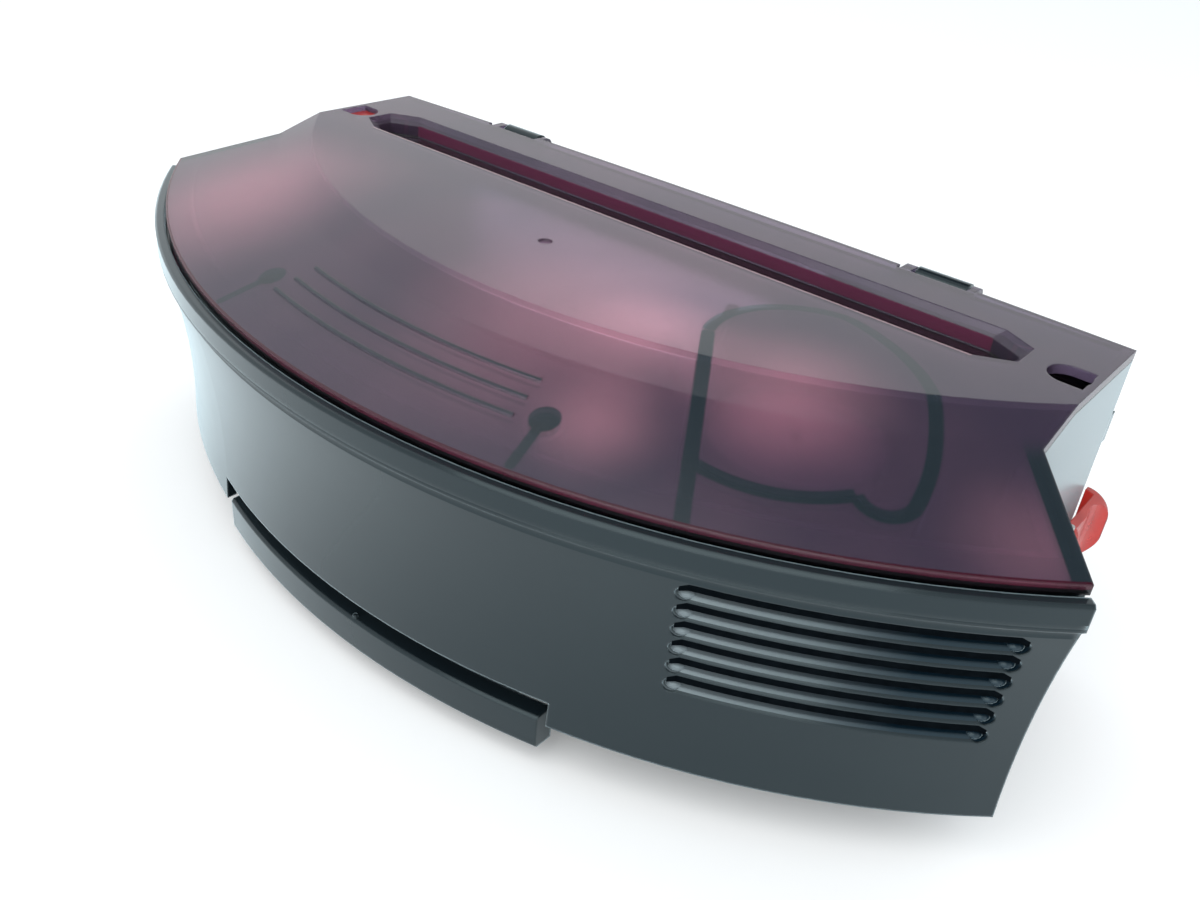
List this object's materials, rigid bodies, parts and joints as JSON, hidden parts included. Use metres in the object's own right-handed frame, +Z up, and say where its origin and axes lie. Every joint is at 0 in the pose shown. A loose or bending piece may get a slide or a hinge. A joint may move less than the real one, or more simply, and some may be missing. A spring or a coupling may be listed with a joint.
{
  "type": "robot vacuum dust bin",
  "caption": "Slide-in dust bin for a round robot vacuum: smoked red lid, black tub, curved louvred rear panel, release bar, hinged front door, side clips and a built-in fan.",
  "frame": {"origin": "under the middle of the bin's bounding box, on the surface it rests on", "axes": "+X to the right seen from the curved rear, +Y towards the front door, +Z up"},
  "size_m": [0.2386, 0.117, 0.075],
  "materials": {
    "smoked_lid": "smoked red translucent, fine satin",
    "black_plastic": "fine satin texture",
    "red_plastic": "clear red, polished",
    "black_rubber": "matt",
    "grey_plastic": "matt",
    "pale_plastic": "natural white",
    "filter_paper": "pleated fibre",
    "spring_steel": "bright drawn wire",
    "motor_steel": "zinc plated",
    "brass_parts": "bright"
  },
  "bodies": {
    "bin": {"top_cover": "smoked_lid", "tub": "black_plastic", "rear_fascia": "black_plastic", "release_springs": "spring_steel", "hinge_brackets": "smoked_lid", "hinge_pins": "spring_steel", "latch_pins": "spring_steel", "latch_spring_right": "spring_steel", "latch_spring_left": "spring_steel", "fan_housing": "black_plastic", "filter_box": "black_plastic", "filter_frame": "grey_plastic", "filter_gasket": "black_rubber", "filter_pleats": "filter_paper", "filter_tab": "red_plastic", "motor_can": "motor_steel", "motor_bush": "brass_parts", "motor_cap": "grey_plastic", "motor_terminals": "brass_parts", "motor_mount": "grey_plastic", "mount_screws": "spring_steel", "motor_screws": "spring_steel", "cover_screws": "spring_steel", "contact_plates": "brass_parts", "lead_strips": "brass_parts"},
    "door": {"front_door": "black_plastic", "inlet_seal": "black_rubber", "door_gasket": "black_rubber"},
    "push_bar": {"release_bar": "black_plastic"},
    "clip_left": {"door_latch_left": "red_plastic"},
    "clip_right": {"door_latch_right": "red_plastic"},
    "fan": {"impeller": "pale_plastic", "motor_shaft": "spring_steel"}
  },
  "joints": [
    {"name": "door_hinge", "type": "hinge", "parent": "bin", "child": "door", "pos_m": [0, 0.0561, 0.07255], "axis": [1, 0, 0], "range_deg": [0, 100]},
    {"name": "bar_push", "type": "slide", "parent": "bin", "child": "push_bar", "axis": [0, 1, 0], "range_m": [0, 0.003], "stiffness_N_per_m": 400, "deforming": ["release_springs"]},
    {"name": "clip_left_turn", "type": "hinge", "parent": "bin", "child": "clip_left", "pos_m": [-0.1029, 0.0401, 0.0345], "axis": [0, 0, -1], "range_deg": [0, 6.5], "stiffness_Nm_per_rad": 0.05, "deforming": ["latch_spring_left"]},
    {"name": "clip_right_turn", "type": "hinge", "parent": "bin", "child": "clip_right", "pos_m": [0.1029, 0.0401, 0.0345], "axis": [0, 0, 1], "range_deg": [0, 6.5], "stiffness_Nm_per_rad": 0.05, "deforming": ["latch_spring_right"]},
    {"name": "fan_spin", "type": "hinge", "parent": "bin", "child": "fan", "pos_m": [0.064, -0.0049, 0.045], "axis": [0, 0, 1], "continuous": true}
  ]
}
